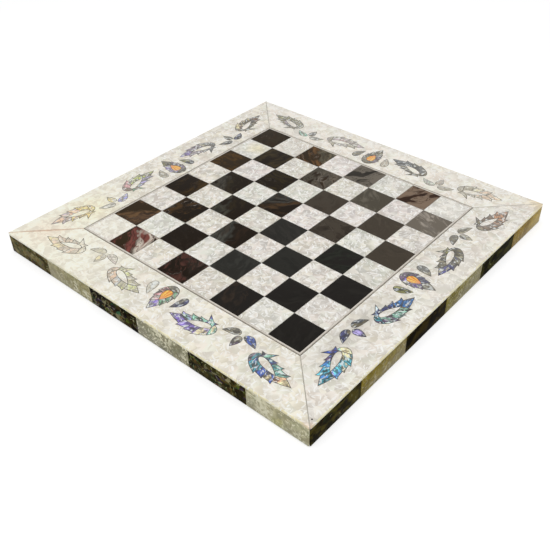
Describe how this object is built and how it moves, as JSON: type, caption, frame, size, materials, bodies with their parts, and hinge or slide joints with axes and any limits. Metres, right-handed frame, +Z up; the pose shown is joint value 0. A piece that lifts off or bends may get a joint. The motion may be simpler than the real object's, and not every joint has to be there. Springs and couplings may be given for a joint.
{
  "type": "chess board",
  "caption": "Flat square inlaid game board with a checkered field, a mitred pearl border with shell ornament, and a checkered edge band.",
  "frame": {"origin": "under the middle of the board, on the surface that it rests on", "axes": "+Z up out of the playing surface, +X along the files from a to h, +Y along the ranks from white's side to black's side"},
  "size_m": [0.3556, 0.3556, 0.021],
  "materials": {
    "core_wood": "plywood, sealed edges hidden by the band",
    "felt": "napped felt",
    "pale_bead": "polished pale filler strip",
    "dark_line": "polished dark resin line",
    "mitre_line": "polished grey resin line",
    "pearl_tile": "polished pearl flake sheet",
    "dark_tile": "polished dark marbled sheet",
    "pearl_border": "polished cream pearl flake sheet",
    "shell_leaf": "iridescent shell under lacquer",
    "shell_petal": "iridescent shell under lacquer",
    "shell_flower": "iridescent shell under lacquer",
    "amber_centre": "ribbed amber-coloured shell under lacquer",
    "pearl_edge": "polished grey-green pearl sheet",
    "dark_edge": "polished dark shell with green and brown clouds"
  },
  "bodies": {
    "root": {"core_panel": "core_wood", "felt_base": "felt", "field_bead": "pale_bead", "field_line_front": "dark_line", "field_line_right": "dark_line", "field_line_back": "dark_line", "field_line_left": "dark_line", "mitre_line_front": "mitre_line", "mitre_line_right": "mitre_line", "mitre_line_back": "mitre_line", "mitre_line_left": "mitre_line", "light_tiles_rank_1": "pearl_tile", "light_tiles_rank_2": "pearl_tile", "light_tiles_rank_3": "pearl_tile", "light_tiles_rank_4": "pearl_tile", "light_tiles_rank_5": "pearl_tile", "light_tiles_rank_6": "pearl_tile", "light_tiles_rank_7": "pearl_tile", "light_tiles_rank_8": "pearl_tile", "dark_tiles_rank_1": "dark_tile", "dark_tiles_rank_2": "dark_tile", "dark_tiles_rank_3": "dark_tile", "dark_tiles_rank_4": "dark_tile", "dark_tiles_rank_5": "dark_tile", "dark_tiles_rank_6": "dark_tile", "dark_tiles_rank_7": "dark_tile", "dark_tiles_rank_8": "dark_tile", "border_panel_front": "pearl_border", "border_panel_right": "pearl_border", "border_panel_back": "pearl_border", "border_panel_left": "pearl_border", "corner_wreaths_front": "shell_leaf", "corner_wreaths_right": "shell_leaf", "corner_wreaths_back": "shell_leaf", "corner_wreaths_left": "shell_leaf", "middle_wreaths_front": "shell_leaf", "middle_wreaths_right": "shell_leaf", "middle_wreaths_back": "shell_leaf", "middle_wreaths_left": "shell_leaf", "petals_front": "shell_petal", "petals_right": "shell_petal", "petals_back": "shell_petal", "petals_left": "shell_petal", "flower_front": "shell_flower", "flower_right": "shell_flower", "flower_back": "shell_flower", "flower_left": "shell_flower", "flower_centre_front": "amber_centre", "flower_centre_right": "amber_centre", "flower_centre_back": "amber_centre", "flower_centre_left": "amber_centre", "light_edge_blocks_front": "pearl_edge", "light_edge_blocks_right": "pearl_edge", "light_edge_blocks_back": "pearl_edge", "light_edge_blocks_left": "pearl_edge", "dark_edge_blocks_front": "dark_edge", "dark_edge_blocks_right": "dark_edge", "dark_edge_blocks_back": "dark_edge", "dark_edge_blocks_left": "dark_edge"}
  },
  "joints": []
}
